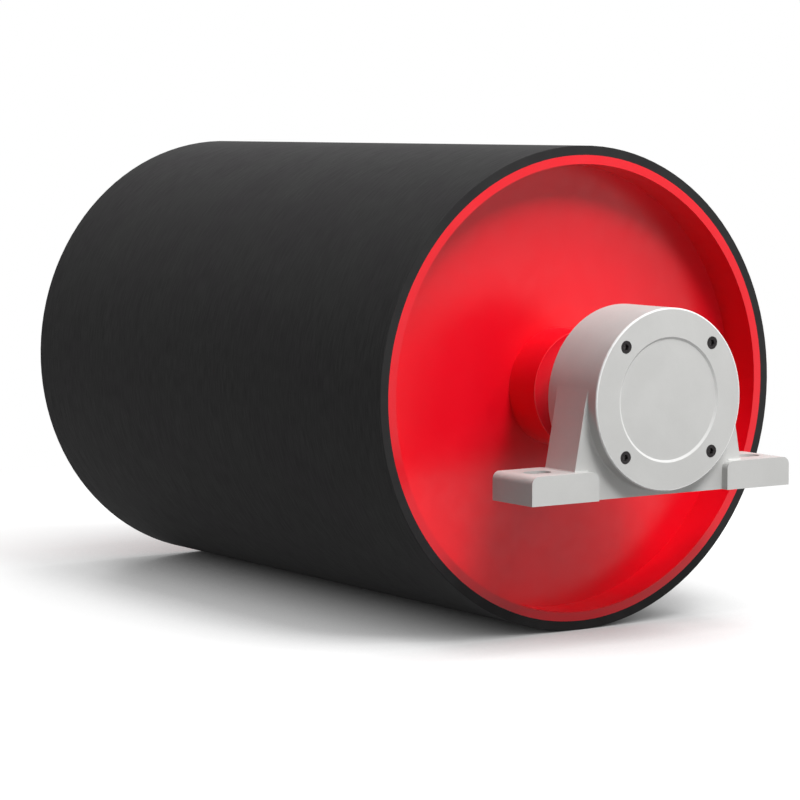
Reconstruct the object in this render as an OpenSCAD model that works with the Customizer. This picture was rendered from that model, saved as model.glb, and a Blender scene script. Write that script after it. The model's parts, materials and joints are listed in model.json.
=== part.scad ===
// Conveyor pulley drum: a rubber-lagged steel drum keyed to a stepped shaft, carried at
// each end by a spherical roller bearing in a one-piece pillow block that bolts to the
// conveyor frame. The drum turns about the Y axis, the frame pads face down, and the
// origin is the middle of the drum. The end at -Y holds its bearing in place (fixed),
// the end at +Y lets it float.

/* [Drum] */
// Length of the drum face, a little wider than the belt
face_w = 750; // [600:10:1000]
// Outside diameter of the steel shell
shell_d = 500; // [460:5:560]
// Wall of the rolled shell
shell_wall = 9.5; // [6:0.5:14]
// Thickness of the bonded rubber lagging
lagging_t = 10; // [6:1:15]
// Bevel on both edges of the lagging
lagging_bevel = 0.5; // [0.2:0.1:3]

/* [End discs and hubs] */
// Depth of the disc's outer face inside the end of the drum
disc_recess = 46; // [40:1:60]
// Thickness of each end disc
disc_t = 20; // [14:1:28]
// Depth of the welds ground flush with the disc's outer face
weld_groove = 8; // [4:0.5:12]
// Leg of the fillet weld between the disc's inner face and the hub
weld_leg = 5; // [2:0.5:8]
// Outside diameter of the hub
hub_d = 127; // [122:1:160]
// Length of the hub outside the disc
hub_boss = 46; // [36:1:58]
// Length of the hub inside the disc
hub_tail = 42; // [30:1:60]
// Chamfer on the hub's end edges
hub_chamfer = 0.5; // [0.5:0.5:4]

/* [Shaft] */
// Diameter of the shaft between the hubs
shaft_mid_d = 100; // [96:1:112]
// Diameter of the hub seats
hub_seat_d = 90; // [86:1:94]
// Chamfer on the shaft's ends
shaft_chamfer = 2; // [0.5:0.5:4]
// Length of shaft that shows past the lock nut
thread_spare = 1; // [0.5:0.5:2]
// Width of the hub keys
key_w = 25; // [18:1:28]
// Height of the hub keys
key_h = 14; // [12:0.5:16]
// Length of the hub keys
key_len = 90; // [60:2:96]
// Depth of the keyways in the shaft
keyway_shaft = 9; // [8:0.5:10]
// Room over each key in the hub's keyway
key_room = 0.4; // [0.2:0.1:1]

/* [Bearings] */
// Distance from the end of the drum to the middle of the bearing
bearing_offset = 106; // [100:1:140]
// Bore of the bearing
bearing_bore = 80; // [76:1:83]
// Outside diameter of the bearing
bearing_d = 140; // [136:1:144]
// Width of the bearing
bearing_w = 33; // [31:0.5:35]
// Thickness of the outer ring at the middle of its width
outer_ring_wall = 7.25; // [6:0.25:9]
// Largest diameter of the barrel rollers
roller_d = 15.5; // [14.5:0.5:16]
// Length of the barrel rollers
roller_len = 12; // [10:0.5:12.5]
// Rollers in each of the two rows
rollers_per_row = 18; // [14:1:18]
// Angle between the roller rows' contact lines and the bearing's middle plane
contact_angle = 10.5; // [10:0.5:12]
// Diameter of the inner ring's middle rib
rib_d = 99; // [97:0.5:101]
// Diameter of the inner ring's outer lips
lip_d = 94; // [92:0.5:96]
// Width of the inner ring's middle rib
rib_w = 5; // [4.6:0.1:5.2]
// Thickness of the cage prongs
cage_t = 6; // [4:0.5:7]
// Length of the cage prongs past the middle of the rollers
prong_reach = 5.4; // [3:0.2:6]
// Width of the part of the cage that runs on the inner ring's rib
cage_guide_w = 4.6; // [3:0.2:5]
// Width of the rings that hold the fixed bearing
locating_ring_w = 4; // [3:0.5:6]
// Radial height of those rings
locating_ring_h = 6; // [4:0.5:8]

/* [Lock nuts] */
// Outside diameter of the lock nut
nut_d = 105; // [98:1:108]
// Width of the lock nut
nut_w = 15; // [12:0.5:16]
// Width of the four spanner slots
nut_slot_w = 10; // [8:0.5:12]
// Depth of the spanner slots
nut_slot_h = 4; // [3:0.5:5]
// Outside diameter of the lock washer's plate
washer_d = 95; // [92:1:97]
// Outside diameter over the lock washer's tabs
washer_tab_d = 112; // [108:1:116]
// Thickness of the lock washer
washer_t = 1.75; // [1:0.25:2.5]
// Number of tabs on the lock washer
washer_tabs = 17; // [13:2:19]
// Depth of the groove that the lock washer keys into
washer_groove = 3.5; // [2:0.5:5]

/* [Shaft seals] */
// Outside diameter of the labyrinth ring's sleeve
sleeve_d = 100; // [96:1:104]
// Outside diameter of the labyrinth ring's flinger
flinger_d = 128; // [126:1:140]
// Thickness of the flinger
flinger_t = 5; // [3:0.5:8]
// Gap between the flinger and the seal cover
flinger_gap = 1; // [0.5:0.5:3]
// Radial thickness of the labyrinth tongue
tongue_t = 3; // [2:0.5:4]
// Length of the labyrinth tongue
tongue_len = 6; // [3:0.5:6.5]
// Gap all round the labyrinth tongue
labyrinth_gap = 0.8; // [0.4:0.1:1.2]
// Outside diameter of the lip seal
seal_d = 120; // [114:1:124]
// Width of the lip seal
seal_w = 9; // [7:0.5:9.5]

/* [Housing] */
// Diameter of the housing's round body and of its covers
body_d = 190; // [184:1:194]
// Width of the housing's round body, without its covers
body_w = 58; // [56:1:68]
// Height of the bearing axis over the frame pads
centre_h = 100; // [98:1:120]
// Length of the base along the frame
base_len = 340; // [324:2:380]
// Thickness of the feet
foot_t = 30; // [22:1:34]
// Depth of the feet
foot_w = 68; // [64:1:80]
// Distance between the feet's inner ends
foot_apart = 170; // [150:2:190]
// Radius of the feet's upper edges
foot_round = 8; // [3:0.5:10]
// Thickness of the web between the feet and the body
web_t = 50; // [42:1:56]
// Lean of the web's sides from upright
web_lean = 10.6; // [8:0.2:14]
// Radius where the web meets the feet and the body
web_cove = 2; // [1:0.5:5]
// Distance from a foot's end to the middle of its holding-down slot
slot_from_end = 31; // [24:1:34]
// Width of the holding-down slots
slot_w = 22; // [16:1:24]
// End-to-end length of the holding-down slots
slot_len = 31; // [25:1:36]

/* [Covers] */
// Thickness of the bearing covers
cover_t = 12; // [11:0.5:16]
// Radius of the covers' outer edge
cover_round = 1.5; // [1:0.5:4]
// Radial wall of the end cover's spigot
spigot_wall = 9; // [7:0.5:10]
// Clear space between the shaft's end and the end cover
shaft_end_room = 1.5; // [1:0.5:2]
// Diameter of the sunk disc in the end cover
dish_d = 130; // [110:1:136]
// Depth of the sunk disc
dish_depth = 1.5; // [0.6:0.1:1.6]
// Width of the sloping edge round the sunk disc
dish_slope = 2.4; // [0.5:0.1:4]
// Circle that the cover screws lie on
screw_pcd = 160; // [158:0.5:164]
// Thread diameter of the cover screws
screw_d = 8; // [6:0.5:8]
// Length of the cover screws under the head
screw_len = 20; // [16:1:22]
// Diameter of the screws' heads
screw_head_d = 13; // [11:0.5:13.5]
// Height of the screws' heads
screw_head_h = 8; // [6:0.5:8]
// Width across the flats of the hexagon socket
socket_af = 6; // [4:0.5:7]
// Depth that the heads lie under the covers' faces
head_sink = 0.4; // [0.2:0.1:1]

/* [Clearances] */
// Radial gap of the seats: ring on shaft, ring in housing, hub on shaft, spigot in bore
seat_gap = 0.02; // [0.01:0.01:0.1]
// Gap between the rollers and the two raceways
run_gap = 0.3; // [0.2:0.05:0.4]
// Gap between the rollers and their pockets in the cage
pocket_gap = 0.25; // [0.15:0.05:0.4]
// Radial gap between the seal's lip and the sleeve
lip_gap = 0.1; // [0.05:0.05:0.3]
// Radial gap round a screw's head and shank
screw_gap = 0.3; // [0.2:0.1:0.5]

/* [Hidden] */
$fn = 96;

DRUM_RED = [0.86, 0.05, 0.09];
RUBBER_BLACK = [0.10, 0.10, 0.10];
CASTING_GREY = [0.78, 0.78, 0.77];
SCREW_BLACK = [0.16, 0.16, 0.17];
STEEL = [0.62, 0.63, 0.65];
BRASS = [0.80, 0.62, 0.28];
SEAL_BROWN = [0.30, 0.16, 0.10];

// Radii of the drum
shell_r = shell_d / 2;
shell_bore_r = shell_r - shell_wall;

// Places along the axis, counted outwards from the end of the drum
disc_out = -disc_recess;
disc_in = disc_out - disc_t;
hub_out = disc_out + hub_boss;
hub_in = disc_in - hub_tail;
key_middle = (hub_out + hub_in) / 2;
body_in = bearing_offset - body_w / 2;
body_out = bearing_offset + body_w / 2;
seal_cover_in = body_in - cover_t;
end_cover_out = body_out + cover_t;
flinger_out = seal_cover_in - flinger_gap;
shoulder = flinger_out - flinger_t;
ring_in = bearing_offset - bearing_w / 2;
ring_out = bearing_offset + bearing_w / 2;
nut_in = ring_out + washer_t;
nut_out = nut_in + nut_w;
shaft_end = nut_out + thread_spare;
spigot_len = (body_w - bearing_w) / 2 - locating_ring_w;

// The bearing's inner geometry. Every roller's outer line lies on a sphere round the
// bearing's middle, which is what lets the bearing align itself.
journal_r = bearing_bore / 2;
seat_r = bearing_d / 2;
sphere_r = seat_r - outer_ring_wall;
barrel_r = sphere_r - run_gap;
roller_r = roller_d / 2;
roller_place = barrel_r - roller_r;
pocket_r = roller_r + pocket_gap;

// Keys, screws and the ends of the web
key_bottom = hub_seat_d / 2 - keyway_shaft;
hub_keyway_top = key_bottom + key_h + key_room;
head_seat = cover_t - head_sink - screw_head_h;
tapped_depth = screw_len - head_seat + 2;
foot_top = foot_t - centre_h;
foot_in = foot_apart / 2;
foot_out = base_len / 2;
slot_spacing = base_len - 2 * slot_from_end;
// The web's sides lie this much inside the lines that touch the round body
web_side_inset = 0.05;
web_side_r = body_d / 2 - web_side_inset;
function web_half_width(z) = (web_side_r - z * sin(web_lean)) / cos(web_lean);

// Turns a profile drawn as radius and place along the axis into a solid round the Y axis
module turned() {
    rotate([-90, 0, 0])
        rotate_extrude()
            children();
}

// A round bar along Y from one place to another
module bar(r, from, to) {
    translate([0, from, 0])
        rotate([-90, 0, 0])
            cylinder(r = r, h = to - from);
}

// A ring's profile: radius from inner to outer, place from one end to the other
module band(inner, outer, from, to) {
    translate([inner, from])
        square([outer - inner, to - from]);
}

// A profile with its edge at the upper right rounded off
module rounded_band(inner, outer, from, to, edge) {
    difference() {
        band(inner, outer, from, to);
        translate([outer - edge, to - edge])
            difference() {
                square(2 * edge);
                circle(edge);
            }
    }
}

// Places a part modelled outwards from the drum's end at the two ends of the drum
module at_float_end() {
    translate([0, face_w / 2, 0])
        children();
}

module at_fixed_end() {
    rotate([0, 0, 180])
        at_float_end()
            children();
}

// ---- Drum ----

module shell() {
    color(DRUM_RED)
        turned()
            band(shell_bore_r, shell_r, -face_w / 2, face_w / 2);
}

module lagging() {
    outer = shell_r + lagging_t;
    half = face_w / 2;
    color(RUBBER_BLACK)
        turned()
            polygon([
                [shell_r, -half],
                [outer - lagging_bevel, -half],
                [outer, -half + lagging_bevel],
                [outer, half - lagging_bevel],
                [outer - lagging_bevel, half],
                [shell_r, half],
            ]);
}

// A flat disc, its outer face grooved along the rim and the hub for the welds
module end_disc() {
    hub_r = hub_d / 2;
    color(DRUM_RED)
        turned()
            polygon([
                [hub_r, disc_in],
                [shell_bore_r, disc_in],
                [shell_bore_r, disc_out - weld_groove],
                [shell_bore_r - weld_groove, disc_out],
                [hub_r + weld_groove, disc_out],
                [hub_r, disc_out - weld_groove],
            ]);
}

// A fillet weld's profile in the corner between two walls, with a slightly crowned face
module weld_bead() {
    crown = 0.6 * weld_leg;
    intersection() {
        square(2 * weld_leg);
        translate([-crown, -crown])
            circle(norm([weld_leg + crown, crown]));
    }
}

// The welds that fill a disc's two grooves, and the fillet weld behind it round the hub
module disc_welds() {
    hub_r = hub_d / 2;
    color(DRUM_RED)
        turned() {
            polygon([
                [shell_bore_r, disc_out - weld_groove],
                [shell_bore_r, disc_out],
                [shell_bore_r - weld_groove, disc_out],
            ]);
            polygon([
                [hub_r, disc_out - weld_groove],
                [hub_r + weld_groove, disc_out],
                [hub_r, disc_out],
            ]);
            translate([hub_r, disc_in])
                mirror([0, 1])
                    weld_bead();
        }
}

module hub() {
    bore_r = hub_seat_d / 2 + seat_gap;
    hub_r = hub_d / 2;
    color(DRUM_RED)
        difference() {
            turned()
                polygon([
                    [bore_r, hub_in],
                    [hub_r - hub_chamfer, hub_in],
                    [hub_r, hub_in + hub_chamfer],
                    [hub_r, hub_out - hub_chamfer],
                    [hub_r - hub_chamfer, hub_out],
                    [bore_r, hub_out],
                ]);
            translate([-key_w / 2 - seat_gap, hub_in - 1, 0])
                cube([key_w + 2 * seat_gap, hub_out - hub_in + 2, hub_keyway_top]);
        }
}

// A key with round ends, seen from above, with a gap added all round
module key_outline(gap) {
    straight = key_len - key_w;
    translate([-key_w / 2 - gap, -straight / 2])
        square([key_w + 2 * gap, straight]);
    for (end = [-1, 1])
        translate([0, end * straight / 2])
            circle(key_w / 2 + gap);
}

module hub_key() {
    color(STEEL)
        translate([0, key_middle, key_bottom])
            linear_extrude(key_h)
                key_outline(0);
}

// ---- Shaft ----

// One half of the shaft, from the middle of the drum outwards, without its keyways
module half_shaft_profile() {
    seat = hub_seat_d / 2;
    polygon([
        [0, 0],
        [shaft_mid_d / 2, 0],
        [shaft_mid_d / 2, face_w / 2 + hub_in],
        [seat, face_w / 2 + hub_in],
        [seat, face_w / 2 + shoulder - shaft_chamfer],
        [seat - shaft_chamfer, face_w / 2 + shoulder],
        [journal_r, face_w / 2 + shoulder],
        [journal_r, face_w / 2 + shaft_end - shaft_chamfer],
        [journal_r - shaft_chamfer, face_w / 2 + shaft_end],
        [0, face_w / 2 + shaft_end],
    ]);
}

module half_shaft() {
    difference() {
        turned()
            half_shaft_profile();
        translate([0, face_w / 2 + key_middle, key_bottom])
            linear_extrude(hub_seat_d)
                key_outline(seat_gap);
        // Groove that stops the lock washer from turning
        translate([-nut_slot_w / 2, face_w / 2 + ring_out, journal_r - washer_groove])
            cube([nut_slot_w, shaft_end, washer_groove * 2]);
    }
}

module shaft() {
    color(STEEL) {
        half_shaft();
        rotate([0, 0, 180])
            half_shaft();
    }
}

// ---- Shaft seals ----

// Radius of the middle of the labyrinth tongue
tongue_r = (flinger_d / 2) - tongue_t;

module labyrinth_ring() {
    color(STEEL)
        turned() {
            bore_r = journal_r + seat_gap;
            band(bore_r, sleeve_d / 2, shoulder, ring_in);
            band(bore_r, flinger_d / 2, shoulder, flinger_out);
            band(tongue_r - tongue_t / 2, tongue_r + tongue_t / 2,
                 flinger_out - 1, flinger_out + tongue_len);
        }
}

// Lip seal: a steel-backed case with a thin lip that leans in to the sleeve
module shaft_seal() {
    case_r = seal_d / 2;
    lip_r = sleeve_d / 2 + lip_gap;
    from = body_in + spigot_len - seal_w;
    color(SEAL_BROWN)
        turned()
            polygon([
                [case_r - seat_gap, from],
                [case_r - seat_gap, from + seal_w],
                [case_r - 2, from + seal_w],
                [case_r - 2, from + 2.2],
                [lip_r + 3.5, from + 2.2],
                [lip_r + 4, from + 4.8],
                [lip_r + 4, from + 7],
                [lip_r + 1.5, from + 7],
                [lip_r, from + 5],
                [lip_r + 2, from + 2],
                [lip_r + 1, from],
            ]);
}

module seal_cover() {
    groove_in = tongue_r - tongue_t / 2 - labyrinth_gap;
    groove_out = tongue_r + tongue_t / 2 + labyrinth_gap;
    groove_end = flinger_out + tongue_len + labyrinth_gap;
    seal_from = body_in + spigot_len - seal_w;
    color(CASTING_GREY)
        difference() {
            turned()
                difference() {
                    union() {
                        mirror([0, 1])
                            rounded_band(0, body_d / 2, -body_in, -seal_cover_in, cover_round);
                        band(0, seat_r - seat_gap, body_in, body_in + spigot_len);
                    }
                    band(-1, sleeve_d / 2 + labyrinth_gap, seal_cover_in - 1, body_out);
                    band(groove_in, groove_out, seal_cover_in - 1, groove_end);
                    band(0, seal_d / 2, seal_from, body_out);
                }
            at_screws()
                screw_holes_in_cover(seal_cover_in);
        }
}

// ---- Bearing ----

// Draws what follows once for each row of rollers, with x along the contact line from
// the bearing's middle and y along the roller
module both_rows() {
    for (side = [-1, 1])
        translate([0, bearing_offset])
            scale_row(side)
                children();
}

module scale_row(side) {
    if (side > 0)
        rotate(contact_angle)
            children();
    else
        mirror([0, 1])
            rotate(contact_angle)
                children();
}

module outer_ring() {
    color(STEEL)
        turned()
            difference() {
                band(sphere_r - outer_ring_wall, seat_r - seat_gap, ring_in, ring_out);
                translate([0, bearing_offset])
                    circle(sphere_r);
            }
}

module inner_ring() {
    raceway_r = barrel_r + run_gap;
    lip_from = bearing_w / 2;
    rib_half = rib_w / 2;
    color(STEEL)
        turned()
            difference() {
                translate([0, bearing_offset])
                    polygon([
                        [journal_r + seat_gap, -lip_from],
                        [lip_d / 2, -lip_from],
                        [rib_d / 2, -rib_half],
                        [rib_d / 2, rib_half],
                        [lip_d / 2, lip_from],
                        [journal_r + seat_gap, lip_from],
                    ]);
                both_rows()
                    intersection() {
                        translate([2 * roller_place, 0])
                            circle(raceway_r);
                        band(0, seat_r, -roller_len / 2 - run_gap, roller_len / 2 + run_gap);
                    }
            }
}

// One barrel roller round the Z axis
module roller() {
    rotate_extrude($fn = 48)
        intersection() {
            translate([roller_r - barrel_r, 0])
                circle(barrel_r, $fn = 360);
            band(0, roller_d, -roller_len / 2, roller_len / 2);
        }
}

// Places what follows at every roller: two rows, set half a pitch apart
module at_rollers() {
    pitch = 360 / rollers_per_row;
    translate([0, bearing_offset, 0])
        rotate([-90, 0, 0])
            for (side = [-1, 1], i = [0 : rollers_per_row - 1])
                rotate([0, 0, (i + side / 4) * pitch])
                    rotate([0, -side * contact_angle, 0])
                        translate([roller_place, 0, 0])
                            mirror([0, 0, side < 0 ? 1 : 0])
                                children();
}

module rollers() {
    color(STEEL)
        at_rollers()
            roller();
}

// The cage's profile: a shallow V over both rows, with a guide that runs on the rib.
// A point is given along a row's contact line and along its rollers.
function cage_point(along, out, side) = [
    along * cos(contact_angle) - out * sin(contact_angle),
    side * (along * sin(contact_angle) + out * cos(contact_angle)),
];

module cage_profile() {
    outer = roller_place + cage_t / 2;
    inner = roller_place - cage_t / 2;
    guide = cage_guide_w / 2;
    guide_top = (inner - guide * sin(contact_angle)) / cos(contact_angle);
    polygon([
        cage_point(inner, prong_reach, 1),
        cage_point(outer, prong_reach, 1),
        [outer / cos(contact_angle), 0],
        cage_point(outer, prong_reach, -1),
        cage_point(inner, prong_reach, -1),
        [guide_top, -guide],
        [rib_d / 2 + run_gap, -guide],
        [rib_d / 2 + run_gap, guide],
        [guide_top, guide],
    ]);
}

// One-piece brass cage: a middle ring between the rows with prongs between the rollers
module cage() {
    color(BRASS)
        difference() {
            turned()
                translate([0, bearing_offset])
                    cage_profile();
            at_rollers()
                translate([0, 0, -roller_len / 2 - pocket_gap])
                    cylinder(r = pocket_r, h = bearing_w, $fn = 48);
        }
}

// Rings on both sides of the fixed bearing's outer ring, clamped by the covers' spigots
module locating_rings() {
    color(STEEL)
        turned() {
            band(seat_r - locating_ring_h, seat_r - seat_gap, ring_in - locating_ring_w, ring_in);
            band(seat_r - locating_ring_h, seat_r - seat_gap, ring_out, ring_out + locating_ring_w);
        }
}

// Outer tabs all round, one of them cut short to be bent, and one inner tab
module lock_washer_outline(tab_w, bent_tab) {
    difference() {
        union() {
            circle(washer_d / 2);
            translate([-tab_w / 2, 0])
                square([tab_w, bent_tab]);
            for (i = [1 : washer_tabs - 1])
                rotate(i * 360 / washer_tabs)
                    translate([-tab_w / 2, 0])
                        square([tab_w, washer_tab_d / 2]);
        }
        difference() {
            circle(journal_r + screw_gap);
            translate([-tab_w / 2, journal_r - washer_groove + seat_gap])
                square([tab_w, bearing_bore]);
        }
    }
}

module lock_washer() {
    tab_w = nut_slot_w - 2;
    bent_from = nut_d / 2 - nut_slot_h + seat_gap;
    color(STEEL) {
        translate([0, nut_in, 0])
            rotate([90, 0, 0])
                linear_extrude(washer_t)
                    lock_washer_outline(tab_w, bent_from + washer_t);
        // The tab that is bent over into a slot of the nut
        translate([-tab_w / 2, ring_out, bent_from])
            cube([tab_w, washer_t + nut_w / 2, washer_t]);
    }
}

module lock_nut() {
    chamfer = nut_slot_h / 2;
    color(STEEL)
        difference() {
            turned()
                polygon([
                    [journal_r + seat_gap, nut_in],
                    [nut_d / 2, nut_in],
                    [nut_d / 2, nut_out - chamfer],
                    [nut_d / 2 - chamfer, nut_out],
                    [journal_r + seat_gap, nut_out],
                ]);
            for (angle = [0 : 90 : 270])
                rotate([0, angle, 0])
                    translate([-nut_slot_w / 2, nut_in - 1, nut_d / 2 - nut_slot_h])
                        cube([nut_slot_w, nut_w + 2, nut_slot_h * 2]);
        }
}

// ---- Housing ----

// The web seen from the end: sides that lean in from the base and run on to the round body
module web_outline() {
    polygon([
        [-web_half_width(-centre_h), -centre_h],
        [web_half_width(-centre_h), -centre_h],
        [web_side_r * cos(web_lean), web_side_r * sin(web_lean)],
        [-web_side_r * cos(web_lean), web_side_r * sin(web_lean)],
    ]);
}

// A foot seen from the end, with both upper edges rounded
module foot_outline() {
    difference() {
        translate([foot_in, -centre_h])
            square([foot_out - foot_in, foot_t]);
        for (side = [0, 1])
            translate([side ? foot_out : foot_in, foot_top])
                mirror([side, 0])
                    translate([foot_round, -foot_round])
                        difference() {
                            translate([-2 * foot_round, 0])
                                square(2 * foot_round);
                            circle(foot_round);
                        }
    }
}

// Fills an inner corner with a hollow curve. The curve is a little over its radius, so
// that it crosses the two walls instead of only touching them.
module cove(r) {
    difference() {
        square(r);
        translate([r, r])
            circle(r * 1.02);
    }
}

// Extrudes an outline drawn in x and z along Y, centred on the bearing
module across(width) {
    translate([0, bearing_offset + width / 2, 0])
        rotate([90, 0, 0])
            linear_extrude(width)
                children();
}

// Coves between the web's ends and the tops of the feet, and round the web's corners
module foot_coves() {
    x = web_half_width(foot_top);
    for (side = [0, 1], front = [0, 1])
        mirror([side, 0, 0])
            translate([0, bearing_offset, 0])
                mirror([0, front, 0])
                    translate([x, 0, foot_top]) {
                        // Along the web's end
                        translate([0, web_t / 2, 0])
                            rotate([90, 0, 0])
                                linear_extrude(web_t / 2)
                                    cove(web_cove);
                        // Round its corner
                        translate([0, web_t / 2, 0])
                            rotate_extrude(angle = 90, $fn = 48)
                                cove(web_cove);
                        // Along its face, as far as the foot's flat top goes
                        translate([0, web_t / 2, 0])
                            rotate([90, 0, -90])
                                linear_extrude(x - foot_in - foot_round)
                                    mirror([1, 0])
                                        cove(web_cove);
                    }
}

// Coves round the round body where it stands out of the web's faces
module body_coves() {
    intersection() {
        turned()
            for (side = [0, 1])
                translate([0, bearing_offset])
                    mirror([0, side])
                        translate([body_d / 2, web_t / 2])
                            cove(web_cove);
        across(body_w)
            web_outline();
    }
}

module slot_outline() {
    straight = slot_len - slot_w;
    translate([-straight / 2, -slot_w / 2])
        square([straight, slot_w]);
    for (end = [-1, 1])
        translate([end * straight / 2, 0])
            circle(slot_w / 2);
}

module housing() {
    color(CASTING_GREY)
        difference() {
            union() {
                bar(body_d / 2, body_in, body_out);
                across(web_t)
                    web_outline();
                for (side = [0, 1])
                    mirror([side, 0, 0])
                        across(foot_w)
                            foot_outline();
                foot_coves();
                body_coves();
            }
            bar(seat_r, body_in - 1, body_out + 1);
            for (end = [-1, 1])
                translate([end * slot_spacing / 2, bearing_offset, -centre_h - 1])
                    linear_extrude(foot_t + 2)
                        slot_outline();
            at_screws() {
                bar(screw_d / 2 + seat_gap, body_in - 1, body_in + tapped_depth);
                bar(screw_d / 2 + seat_gap, body_out - tapped_depth, body_out + 1);
            }
        }
}

// ---- Covers and screws ----

// Places what follows at the four cover screws
module at_screws() {
    for (angle = [45 : 90 : 315])
        rotate([0, angle, 0])
            translate([screw_pcd / 2, 0, 0])
                children();
}

// A counterbored hole, from the outer face of a cover inwards; the seal cover's outer
// face looks towards the drum
module screw_holes_in_cover(face) {
    bar(screw_head_d / 2 + screw_gap, face - 1, face + cover_t - head_seat);
    bar(screw_d / 2 + screw_gap, face - 1, face + cover_t + 1);
}

// A socket head cap screw that enters along +Y, with its head's top at the given place
module cap_screw(top) {
    difference() {
        union() {
            bar(screw_head_d / 2, top, top + screw_head_h);
            bar(screw_d / 2, top, top + screw_head_h + screw_len);
        }
        translate([0, top - 1, 0])
            rotate([-90, 0, 0])
                cylinder(d = socket_af / cos(30), h = screw_head_h / 2 + 1, $fn = 6);
    }
}

module seal_cover_screws() {
    color(SCREW_BLACK)
        at_screws()
            cap_screw(seal_cover_in + head_sink);
}

// The end cover's pieces face outwards: the seal cover's, mirrored across the bearing
module mirrored_outwards() {
    translate([0, 2 * bearing_offset, 0])
        mirror([0, 1, 0])
            children();
}

module end_cover_screws() {
    color(SCREW_BLACK)
        mirrored_outwards()
            at_screws()
                cap_screw(seal_cover_in + head_sink);
}

module end_cover() {
    cavity_end = shaft_end + shaft_end_room;
    dish_r = dish_d / 2;
    color(CASTING_GREY)
        difference() {
            turned()
                difference() {
                    union() {
                        rounded_band(0, body_d / 2, body_out, end_cover_out, cover_round);
                        band(0, seat_r - seat_gap, body_out - spigot_len, body_out);
                    }
                    band(-1, seat_r - spigot_wall, body_out - spigot_len - 1, cavity_end);
                    polygon([
                        [-1, end_cover_out - dish_depth],
                        [dish_r - dish_slope, end_cover_out - dish_depth],
                        [dish_r, end_cover_out],
                        [dish_r, end_cover_out + 1],
                        [-1, end_cover_out + 1],
                    ]);
                }
            mirrored_outwards()
                at_screws()
                    screw_holes_in_cover(seal_cover_in);
        }
}

// ---- Nodes ----

shell();
lagging();
shaft();
at_fixed_end() end_disc();  // end_disc_fixed
at_float_end() end_disc();  // end_disc_float
at_fixed_end() hub();  // hub_fixed
at_float_end() hub();  // hub_float
at_fixed_end() disc_welds();  // disc_welds_fixed
at_float_end() disc_welds();  // disc_welds_float
at_fixed_end() hub_key();  // hub_key_fixed
at_float_end() hub_key();  // hub_key_float
at_fixed_end() labyrinth_ring();  // labyrinth_ring_fixed
at_float_end() labyrinth_ring();  // labyrinth_ring_float
at_fixed_end() inner_ring();  // inner_ring_fixed
at_float_end() inner_ring();  // inner_ring_float
at_fixed_end() rollers();  // rollers_fixed
at_float_end() rollers();  // rollers_float
at_fixed_end() cage();  // cage_fixed
at_float_end() cage();  // cage_float
at_fixed_end() outer_ring();  // outer_ring_fixed
at_float_end() outer_ring();  // outer_ring_float
at_fixed_end() locating_rings();
at_fixed_end() lock_washer();  // lock_washer_fixed
at_float_end() lock_washer();  // lock_washer_float
at_fixed_end() lock_nut();  // lock_nut_fixed
at_float_end() lock_nut();  // lock_nut_float
at_fixed_end() housing();  // housing_fixed
at_float_end() housing();  // housing_float
at_fixed_end() seal_cover();  // seal_cover_fixed
at_float_end() seal_cover();  // seal_cover_float
at_fixed_end() shaft_seal();  // shaft_seal_fixed
at_float_end() shaft_seal();  // shaft_seal_float
at_fixed_end() seal_cover_screws();  // seal_cover_screws_fixed
at_float_end() seal_cover_screws();  // seal_cover_screws_float
at_fixed_end() end_cover();  // end_cover_fixed
at_float_end() end_cover();  // end_cover_float
at_fixed_end() end_cover_screws();  // end_cover_screws_fixed
at_float_end() end_cover_screws();  // end_cover_screws_float
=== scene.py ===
import json
import math

import bpy
from mathutils import Matrix, Vector


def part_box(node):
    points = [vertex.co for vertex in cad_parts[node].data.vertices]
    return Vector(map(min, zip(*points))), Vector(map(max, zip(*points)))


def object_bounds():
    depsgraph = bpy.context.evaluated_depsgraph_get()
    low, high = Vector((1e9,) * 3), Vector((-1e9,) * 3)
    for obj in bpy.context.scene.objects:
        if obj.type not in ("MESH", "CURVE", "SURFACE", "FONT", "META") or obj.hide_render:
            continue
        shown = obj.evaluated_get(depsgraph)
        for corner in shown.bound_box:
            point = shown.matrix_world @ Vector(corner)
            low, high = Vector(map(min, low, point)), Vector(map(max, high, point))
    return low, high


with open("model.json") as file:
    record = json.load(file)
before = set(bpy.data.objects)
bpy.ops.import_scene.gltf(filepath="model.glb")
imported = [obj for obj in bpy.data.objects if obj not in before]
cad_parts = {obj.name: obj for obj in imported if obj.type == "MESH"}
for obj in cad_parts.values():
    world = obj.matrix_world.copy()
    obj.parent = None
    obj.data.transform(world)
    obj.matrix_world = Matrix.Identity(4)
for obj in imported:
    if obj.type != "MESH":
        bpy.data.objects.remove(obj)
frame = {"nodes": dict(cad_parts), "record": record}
nodes = frame["nodes"]
cad_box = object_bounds()


# ---- Helpers for materials ----

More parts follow.
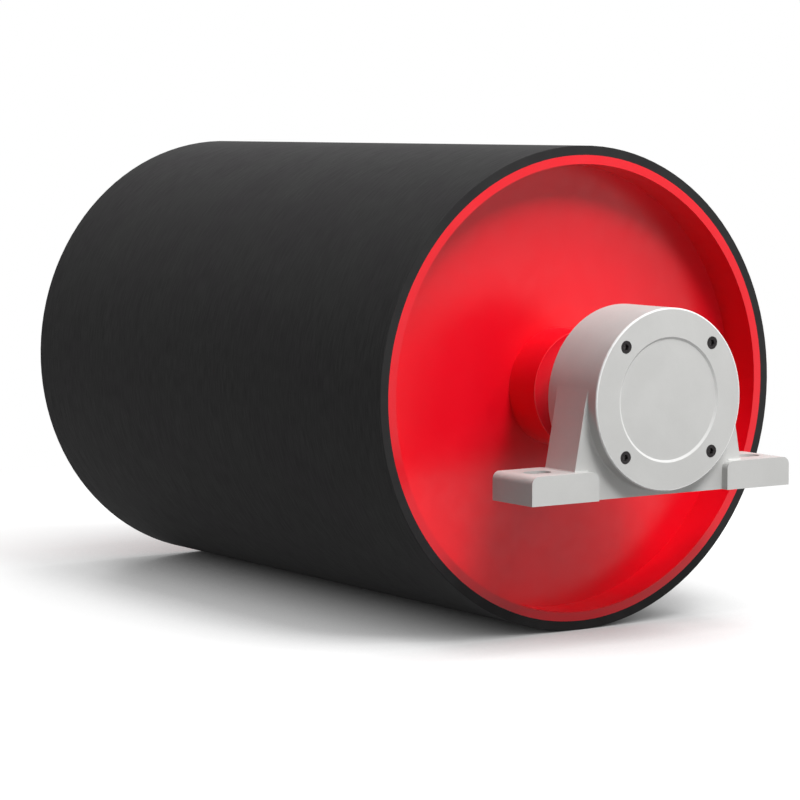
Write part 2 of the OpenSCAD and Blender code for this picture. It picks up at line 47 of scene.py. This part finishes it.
class Graph:
    """A material's node tree, with short calls for the nodes used here."""

    def __init__(self, name):
        self.mat = bpy.data.materials.new(name)
        self.mat.use_nodes = True
        self.tree = self.mat.node_tree
        self.tree.nodes.clear()
        self.out = self.tree.nodes.new("ShaderNodeOutputMaterial")

    def put(self, socket, value):
        if isinstance(value, bpy.types.NodeSocket):
            self.tree.links.new(value, socket)
        else:
            socket.default_value = value

    def node(self, kind, settings=None, **inputs):
        n = self.tree.nodes.new(kind)
        for key, value in (settings or {}).items():
            setattr(n, key, value)
        for key, value in inputs.items():
            self.put(n.inputs[key.replace("_", " ")], value)
        return n

    def math(self, op, a, b=None):
        n = self.tree.nodes.new("ShaderNodeMath")
        n.operation = op
        self.put(n.inputs[0], a)
        if b is not None:
            self.put(n.inputs[1], b)
        return n.outputs[0]

    def product(self, a, b):
        return self.math("MULTIPLY", a, b)

    def length(self, a, b):
        """Length of the vector (a, b)."""
        squares = self.math("ADD", self.product(a, a), self.product(b, b))
        return self.math("SQRT", squares)

    def ramp(self, value, low, high, to_low=0.0, to_high=1.0):
        """Smooth step from to_low at low to to_high at high."""
        n = self.tree.nodes.new("ShaderNodeMapRange")
        n.interpolation_type = "SMOOTHSTEP"
        for i, v in enumerate((value, low, high, to_low, to_high)):
            self.put(n.inputs[i], v)
        return n.outputs[0]

    def mix(self, factor, a, b):
        n = self.tree.nodes.new("ShaderNodeMix")
        n.data_type = "RGBA"
        self.put(n.inputs[0], factor)
        self.put(n.inputs[6], a)
        self.put(n.inputs[7], b)
        return n.outputs[2]

    def place(self):
        """Object coordinates: metres in the part's own frame, so they move with the piece."""
        return self.node("ShaderNodeTexCoord").outputs["Object"]

    def split(self, vector):
        n = self.tree.nodes.new("ShaderNodeSeparateXYZ")
        self.put(n.inputs[0], vector)
        return n.outputs

    def join(self, x, y, z):
        n = self.tree.nodes.new("ShaderNodeCombineXYZ")
        for i, v in enumerate((x, y, z)):
            self.put(n.inputs[i], v)
        return n.outputs[0]

    def noise(self, vector, scale, detail=2.0, stretch=None):
        if stretch is not None:
            vector = self.node("ShaderNodeMapping", Vector=vector, Scale=stretch).outputs[0]
        n = self.node("ShaderNodeTexNoise", Vector=vector, Scale=scale, Detail=detail)
        return n.outputs["Fac"]

    def patches(self, vector, scale, detail, low=0.0, high=1.0):
        """Noise whose middle range is spread from low to high."""
        return self.ramp(self.noise(vector, scale, detail), 0.3, 0.7, low, high)

    def turned(self):
        """Radius from the part's axis, place along it, and two numbers that go round it."""
        x, y, z = self.split(self.place())[:3]
        r = self.length(x, z)
        safe = self.math("MAXIMUM", r, 0.001)
        return r, y, self.math("DIVIDE", x, safe), self.math("DIVIDE", z, safe)

    def bump(self, height, distance, strength):
        return self.node("ShaderNodeBump", Strength=strength, Distance=distance, Height=height).outputs[0]

    def surface(self, **sockets):
        n = self.node("ShaderNodeBsdfPrincipled", **sockets)
        self.tree.links.new(n.outputs[0], self.out.inputs["Surface"])
        return self.mat


def srgb(r, g, b):
    """A display colour, 0 to 255, as a linear one."""
    def one(v):
        v /= 255
        return v / 12.92 if v <= 0.04045 else ((v + 0.055) / 1.055) ** 2.4
    return (one(r), one(g), one(b), 1.0)


# ---- Materials ----

# Radius at which the lagging's grinding marks are drawn, whatever the point's own radius
grind_r = 0.30
# Density of the lathe marks on bare metal
marks_per_metre = 2600.0


def drum_paint():
    """Glossy red paint with light orange peel."""
    g = Graph("drum_paint")
    p = g.place()
    peel = g.noise(p, 420.0)
    return g.surface(
        Base_Color=g.mix(g.patches(p, 9.0, 3.0), srgb(225, 7, 28), srgb(230, 10, 32)),
        Roughness=g.patches(p, 60.0, 3.0, 0.29, 0.35),
        IOR=1.58,
        Normal=g.bump(peel, 0.00012, 0.1),
    )


def lagging_rubber():
    """Black rubber with faint grinding marks that run round the drum."""
    g = Graph("lagging_rubber")
    p = g.place()
    _, y, cx, cz = g.turned()
    round_drum = g.join(g.product(cx, grind_r), y, g.product(cz, grind_r))
    grind = g.noise(round_drum, 160.0, 3.0, stretch=(0.25, 4.0, 0.25))
    grain = g.noise(p, 1500.0)
    height = g.math("ADD", g.product(grind, 0.6), g.product(grain, 0.4))
    return g.surface(
        Base_Color=g.mix(g.patches(p, 14.0, 4.0), srgb(41, 40, 41), srgb(44, 44, 44)),
        Roughness=g.ramp(grind, 0.3, 0.7, 0.72, 0.84),
        Specular_IOR_Level=0.2,
        Normal=g.bump(height, 0.00025, 0.18),
    )


# Sizes of the end covers, which place the painted highlights on their turned edges
cover_low, cover_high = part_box("end_cover_fixed")
cover_r = (cover_high[0] - cover_low[0]) / 2
cover_face = max(abs(cover_low[1]), abs(cover_high[1]))
cover_round = 0.0015
dish_r = 0.065
dish_slope = 0.0024
band_soft = 0.0004


def casting_paint():
    """Sprayed grey paint on sand castings, with a painted highlight of lighter paint on the covers' turned
    edges and dish edge.
    """
    g = Graph("casting_paint")
    p = g.place()
    grain = g.noise(p, 900.0)
    sand = g.noise(p, 260.0, 4.0)
    r, y, _, _ = g.turned()

    def band(low, high):
        """1 between two radii, with soft ends."""
        return g.product(g.ramp(r, low - band_soft, low), g.ramp(r, high, high + band_soft, 1.0, 0.0))

    # Painted highlight: lighter paint on the covers' outer rounded rim and on the dish's sloped edge,
    # broken up by the sand noise
    at_face = g.ramp(g.math("ABSOLUTE", y), cover_face - 2 * cover_round, cover_face - cover_round)
    dish_highlight = g.product(band(dish_r - dish_slope, dish_r), 0.35)
    edges = g.math("ADD", band(cover_r - cover_round, 2 * cover_r), dish_highlight)
    painted_highlight = g.product(g.product(at_face, edges), g.ramp(sand, 0.2, 0.5, 0.5, 1.0))
    colour = g.mix(g.patches(p, 22.0, 3.0), srgb(193, 193, 191), srgb(198, 198, 196))
    height = g.math("ADD", g.product(grain, 0.6), g.product(sand, 0.4))
    return g.surface(
        Base_Color=g.mix(painted_highlight, colour, srgb(236, 236, 235)),
        Roughness=g.ramp(sand, 0.3, 0.7, 0.46, 0.58),
        IOR=1.9,
        Normal=g.bump(height, 0.0002, 0.45),
    )


# Distance of each cover screw from the part's axis, along x and along z
screw_at = 0.080 * math.sqrt(0.5)
socket_r = 0.0031
socket_soft = 0.0003


def screw_steel():
    """Blackened cap screws, with painted light: the shaded sockets are coloured lighter."""
    g = Graph("screw_steel")
    p = g.place()
    x, _, z = g.split(p)[:3]
    dx = g.math("SUBTRACT", g.math("ABSOLUTE", x), screw_at)
    dz = g.math("SUBTRACT", g.math("ABSOLUTE", z), screw_at)
    # Painted light: a lighter colour inside each socket, which is otherwise in shade
    socket_painted_light = g.ramp(g.length(dx, dz), socket_r - socket_soft, socket_r, 1.0, 0.0)
    black = g.mix(g.patches(p, 300.0, 3.0), srgb(38, 35, 36), srgb(50, 46, 47))
    return g.surface(
        Base_Color=g.mix(socket_painted_light, black, srgb(132, 128, 128)),
        Metallic=0.6,
        Roughness=g.patches(p, 900.0, 2.0, 0.38, 0.52),
        Normal=g.bump(g.noise(p, 1400.0, 1.0), 0.00005, 0.3),
    )


def turned_metal(name, low, high, rough_low, rough_high, marks=1.0):
    """Metal with fine lathe marks that run round the part's axis."""
    g = Graph(name)
    p = g.place()
    r, y, cx, cz = g.turned()
    across = g.join(g.product(r, marks_per_metre), g.product(y, marks_per_metre), g.math("ADD", cx, cz))
    line = g.noise(across, 1.0, 3.0)
    rough = g.ramp(line, 0.3, 0.7, rough_low, rough_high)
    return g.surface(
        Base_Color=g.mix(g.ramp(line, 0.3, 0.7), low, high),
        Metallic=1.0,
        Roughness=g.math("ADD", rough, g.patches(p, 40.0, 4.0, 0.0, 0.06)),
        Normal=g.bump(line, 0.00003 * marks, 0.5),
    )


def seal_rubber():
    """Brown rubber of the lip seals."""
    g = Graph("seal_rubber")
    p = g.place()
    return g.surface(
        Base_Color=g.mix(g.patches(p, 120.0, 3.0), srgb(72, 40, 26), srgb(88, 50, 34)),
        Roughness=g.patches(p, 700.0, 2.0, 0.5, 0.62),
        Normal=g.bump(g.noise(p, 1600.0), 0.00006, 0.3),
    )


materials = {
    "drum_paint": drum_paint(),
    "lagging_rubber": lagging_rubber(),
    "casting_paint": casting_paint(),
    "screw_steel": screw_steel(),
    "machined_steel": turned_metal("machined_steel", srgb(178, 180, 184), srgb(200, 202, 205), 0.26, 0.36),
    "bearing_steel": turned_metal(
        "bearing_steel", srgb(206, 208, 212), srgb(222, 223, 226), 0.10, 0.16, 0.4),
    "cage_brass": turned_metal("cage_brass", srgb(196, 160, 84), srgb(214, 180, 104), 0.24, 0.34),
    "seal_rubber": seal_rubber(),
}
slot_of = {s["node"]: s["material_slot"] for s in frame["record"]["subparts"]}
for name, obj in nodes.items():
    material = materials[slot_of[name]]
    if not obj.data.materials:
        obj.data.materials.append(material)
    for slot in obj.material_slots:
        slot.link = "OBJECT"
        slot.material = material


# ---- Camera ----

# Solved from the drum's two end circles in the photo. The place is in lagged radii.
lagged_r = 0.26
view_azimuth, view_elevation = -34.084, 5.302
place_back, place_right, place_up = 13.730, 0.05820, -0.15435
lens = 137.162


def direction(azimuth, elevation):
    """Unit vector from the middle, with angles in degrees and azimuth 0 at the near end."""
    a, e = math.radians(azimuth), math.radians(elevation)
    return Vector((math.sin(a) * math.cos(e), -math.cos(a) * math.cos(e), math.sin(e)))


back = direction(view_azimuth, view_elevation)
right = direction(view_azimuth + 90, 0)
up = back.cross(right)
camera = bpy.data.objects.new("camera", bpy.data.cameras.new("camera"))
camera.location = lagged_r * (place_back * back + place_right * right + place_up * up)
camera.rotation_euler = Matrix((right, up, back)).transposed().to_euler()
camera.data.lens = lens
camera.data.sensor_width = 36.0
camera.data.clip_start = 0.05
camera.data.clip_end = 60.0
bpy.context.scene.collection.objects.link(camera)
bpy.context.scene.camera = camera


# ---- Light and floor ----

floor_z = min(c[2] for c in cad_box)
lamp_target = Vector((0, -0.2, 0))
lamp_distance = 3.2
lamp_size = 0.8
# Name, azimuth and elevation in degrees, watts
lamps = (
    ("head_on_low", 0, 0, 9.5),
    ("head_on_mid", 0, 45, 53.8),
    ("head_on_high", 0, 60, 15.7),
    ("left_mid", -25, 45, 6.3),
    ("near_right_mid", 15, 45, 6.9),
    ("near_right_high", 15, 60, 27.1),
    ("right_low", 55, 20, 5.4),
    ("right_mid", 55, 50, 39.0),
    ("back_mid", 180, 35, 44.1),
)


def add_lamp(name, azimuth, elevation, power):
    """A square area lamp aimed at the target, which shiny surfaces don't mirror."""
    data = bpy.data.lights.new(name, "AREA")
    data.shape = "SQUARE"
    data.size = lamp_size
    data.energy = power
    away = direction(azimuth, elevation)
    obj = bpy.data.objects.new(name, data)
    obj.location = lamp_target + lamp_distance * away
    obj.rotation_euler = (-away).to_track_quat("-Z", "Y").to_euler()
    obj.visible_glossy = False
    bpy.context.scene.collection.objects.link(obj)


for name, azimuth, elevation, power in lamps:
    add_lamp(name, azimuth, elevation, power)


class Light(Graph):
    """The node tree of the sky or the floor, which answers each kind of ray with its own shader."""

    def __init__(self, owner):
        self.tree = owner.node_tree
        self.tree.nodes.clear()
        self.path = self.tree.nodes.new("ShaderNodeLightPath")

    def by_ray(self, ray, others, this):
        return self.blend(self.path.outputs[ray], others, this)

    def add(self, a, b):
        n = self.tree.nodes.new("ShaderNodeAddShader")
        self.put(n.inputs[0], a)
        self.put(n.inputs[1], b)
        return n.outputs[0]

    def glow(self, strength):
        return self.node("ShaderNodeEmission", Color=(1, 1, 1, 1), Strength=strength).outputs[0]

    def matt(self, grey):
        return self.node("ShaderNodeBsdfDiffuse", Color=(grey, grey, grey, 1)).outputs[0]

    def blend(self, factor, a, b):
        n = self.tree.nodes.new("ShaderNodeMixShader")
        for i, value in enumerate((factor, a, b)):
            self.put(n.inputs[i], value)
        return n.outputs[0]


def make_sky():
    """Soft fill for the object; the camera, metal and glass see the white backdrop."""
    world = bpy.data.worlds.new("sky")
    bpy.context.scene.world = world
    world.use_nodes = True
    t = Light(world)

    def white(strength):
        return t.node("ShaderNodeBackground", Color=(1, 1, 1, 1), Strength=strength).outputs[0]

    seen = t.by_ray("Is Glossy Ray", white(0.03), white(1.0))
    seen = t.by_ray("Is Transmission Ray", seen, white(1.0))
    seen = t.by_ray("Is Camera Ray", seen, white(1.0))
    out = t.node("ShaderNodeOutputWorld")
    t.put(out.inputs["Surface"], seen)


floor_half = 12.0
# The paper fades into plain white between these distances from a box round the drum
paper_near, paper_far = 0.3, 0.9
drum_half_x = cad_box[1][0]
drum_half_y = 0.39
# The paper's glow under open sky, how fast that falls off near the pulley, and its grey
sky_glow = 0.973
sky_darkening = 1.15
paper_grey = 0.348
# The floor's grey for light that bounces up to the pulley
bounce_grey = 0.15


def make_floor():
    """A ground that holds the pulley's shadow, and that can't be seen from below."""
    corners = [(-1, -1), (1, -1), (1, 1), (-1, 1)]
    mesh = bpy.data.meshes.new("floor")
    mesh.from_pydata([(floor_half * x, floor_half * y, floor_z) for x, y in corners], [], [(0, 1, 2, 3)])
    floor = bpy.data.objects.new("floor", mesh)
    bpy.context.scene.collection.objects.link(floor)

    mat = bpy.data.materials.new("floor")
    mat.use_nodes = True
    t = Light(mat)
    hit = t.node("ShaderNodeNewGeometry").outputs
    x, y, _ = t.split(hit["Position"])
    beside = t.math("MAXIMUM", t.math("SUBTRACT", t.math("ABSOLUTE", x), drum_half_x), 0.0)
    beyond = t.math("MAXIMUM", t.math("SUBTRACT", t.math("ABSOLUTE", y), drum_half_y), 0.0)
    away = t.length(beside, beyond)
    open_sky = t.node("ShaderNodeAmbientOcclusion", {"samples": 16}, Distance=4.0).outputs["AO"]
    under_sky = t.product(t.math("POWER", open_sky, sky_darkening), sky_glow)
    paper = t.add(t.glow(under_sky), t.matt(paper_grey))
    shown = t.blend(t.ramp(away, paper_near, paper_far), paper, t.glow(1.0))
    seen = t.by_ray("Is Glossy Ray", t.matt(bounce_grey), t.glow(open_sky))
    seen = t.by_ray("Is Camera Ray", seen, shown)
    seen = t.blend(hit["Backfacing"], seen, t.node("ShaderNodeBsdfTransparent").outputs[0])
    out = t.node("ShaderNodeOutputMaterial")
    t.put(out.inputs["Surface"], seen)
    mat.cycles.emission_sampling = "NONE"
    floor.data.materials.append(mat)


make_sky()
make_floor()
bpy.context.scene.view_settings.view_transform = "Standard"
